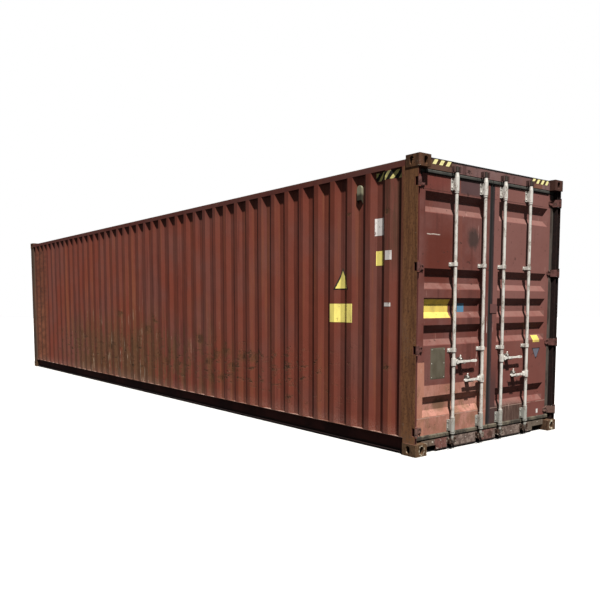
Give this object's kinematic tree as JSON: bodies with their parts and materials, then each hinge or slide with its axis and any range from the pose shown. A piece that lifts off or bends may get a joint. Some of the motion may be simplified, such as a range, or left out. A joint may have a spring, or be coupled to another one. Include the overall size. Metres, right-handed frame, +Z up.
{
  "type": "shipping container",
  "caption": "Long high steel dry cargo container with corrugated walls, corner castings, hinged doors with locking bars, handles and catches that move.",
  "frame": {"origin": "on the ground, under the centre of the container", "axes": "+Z up, +Y along the container from the door end to the closed front end, +X to the right as seen when facing the doors"},
  "size_m": [2.438, 12.192, 2.896],
  "materials": {
    "red_paint": "weathered oxide red paint",
    "bar_galvanised": "dull galvanised",
    "gasket_rubber": "dull",
    "floor_ply": "worn plywood",
    "underside_coat": "dark wax coat",
    "vent_plastic": "dusty olive grey"
  },
  "bodies": {
    "container": {"corner_castings_rear": "red_paint", "corner_castings_front": "red_paint", "front_wall": "red_paint", "front_top_rail": "red_paint", "front_bottom_rail": "red_paint", "roof": "red_paint", "floor_boards": "floor_ply", "cross_members": "underside_coat", "gooseneck_tunnel": "underside_coat", "door_header": "red_paint", "door_sill": "red_paint", "cam_keepers": "red_paint", "ventilator_left": "vent_plastic", "ventilator_right": "vent_plastic", "side_wall_left": "red_paint", "top_side_rail_left": "red_paint", "bottom_side_rail_left": "red_paint", "front_post_left": "red_paint", "rear_post_left": "red_paint", "side_wall_right": "red_paint", "top_side_rail_right": "red_paint", "bottom_side_rail_right": "red_paint", "front_post_right": "red_paint", "rear_post_right": "red_paint"},
    "door_left": {"door_frame_left": "red_paint", "door_panel_left": "red_paint", "door_gasket_left": "gasket_rubber", "door_hinges_left": "red_paint", "bar_brackets_left": "bar_galvanised", "handle_retainers_left": "bar_galvanised"},
    "door_right": {"door_frame_right": "red_paint", "door_panel_right": "red_paint", "door_gasket_right": "gasket_rubber", "door_hinges_right": "red_paint", "bar_brackets_right": "bar_galvanised", "handle_retainers_right": "bar_galvanised"},
    "bar_left_outer": {"locking_bar_left_outer": "bar_galvanised"},
    "handle_left_outer": {"bar_handle_left_outer": "bar_galvanised"},
    "catch_left_outer": {"handle_catch_left_outer": "bar_galvanised"},
    "bar_left_inner": {"locking_bar_left_inner": "bar_galvanised"},
    "handle_left_inner": {"bar_handle_left_inner": "bar_galvanised"},
    "catch_left_inner": {"handle_catch_left_inner": "bar_galvanised"},
    "bar_right_inner": {"locking_bar_right_inner": "bar_galvanised"},
    "handle_right_inner": {"bar_handle_right_inner": "bar_galvanised"},
    "catch_right_inner": {"handle_catch_right_inner": "bar_galvanised"},
    "bar_right_outer": {"locking_bar_right_outer": "bar_galvanised"},
    "handle_right_outer": {"bar_handle_right_outer": "bar_galvanised"},
    "catch_right_outer": {"handle_catch_right_outer": "bar_galvanised"}
  },
  "joints": [
    {"name": "door_left_swing", "type": "hinge", "parent": "container", "child": "door_left", "pos_m": [-1.198, -6.079, 0], "axis": [0, 0, -1], "range_deg": [0, 265]},
    {"name": "door_right_swing", "type": "hinge", "parent": "container", "child": "door_right", "pos_m": [1.198, -6.079, 0], "axis": [0, 0, 1], "range_deg": [0, 265]},
    {"name": "bar_left_outer_turn", "type": "hinge", "parent": "door_left", "child": "bar_left_outer", "pos_m": [-0.633, -6.062, 0], "axis": [0, 0, 1], "range_deg": [-110, 0]},
    {"name": "handle_left_outer_lift", "type": "hinge", "parent": "bar_left_outer", "child": "handle_left_outer", "pos_m": [-0.583, -6.07, 0.897], "axis": [0, -1, 0], "range_deg": [0, 25]},
    {"name": "catch_left_outer_turn", "type": "hinge", "parent": "door_left", "child": "catch_left_outer", "pos_m": [-0.491, -6.034, 0.919], "axis": [-1, 0, 0], "range_deg": [-80, 0]},
    {"name": "bar_left_inner_turn", "type": "hinge", "parent": "door_left", "child": "bar_left_inner", "pos_m": [-0.17, -6.062, 0], "axis": [0, 0, -1], "range_deg": [-110, 0]},
    {"name": "handle_left_inner_lift", "type": "hinge", "parent": "bar_left_inner", "child": "handle_left_inner", "pos_m": [-0.22, -6.07, 0.7], "axis": [0, 1, 0], "range_deg": [0, 25]},
    {"name": "catch_left_inner_turn", "type": "hinge", "parent": "door_left", "child": "catch_left_inner", "pos_m": [-0.368, -6.034, 0.722], "axis": [-1, 0, 0], "range_deg": [-80, 0]},
    {"name": "bar_right_inner_turn", "type": "hinge", "parent": "door_right", "child": "bar_right_inner", "pos_m": [0.17, -6.062, 0], "axis": [0, 0, 1], "range_deg": [-110, 0]},
    {"name": "handle_right_inner_lift", "type": "hinge", "parent": "bar_right_inner", "child": "handle_right_inner", "pos_m": [0.22, -6.07, 0.897], "axis": [0, -1, 0], "range_deg": [0, 25]},
    {"name": "catch_right_inner_turn", "type": "hinge", "parent": "door_right", "child": "catch_right_inner", "pos_m": [0.312, -6.034, 0.919], "axis": [-1, 0, 0], "range_deg": [-80, 0]},
    {"name": "bar_right_outer_turn", "type": "hinge", "parent": "door_right", "child": "bar_right_outer", "pos_m": [0.633, -6.062, 0], "axis": [0, 0, -1], "range_deg": [-110, 0]},
    {"name": "handle_right_outer_lift", "type": "hinge", "parent": "bar_right_outer", "child": "handle_right_outer", "pos_m": [0.583, -6.07, 0.7], "axis": [0, 1, 0], "range_deg": [0, 25]},
    {"name": "catch_right_outer_turn", "type": "hinge", "parent": "door_right", "child": "catch_right_outer", "pos_m": [0.435, -6.034, 0.722], "axis": [-1, 0, 0], "range_deg": [-80, 0]}
  ]
}
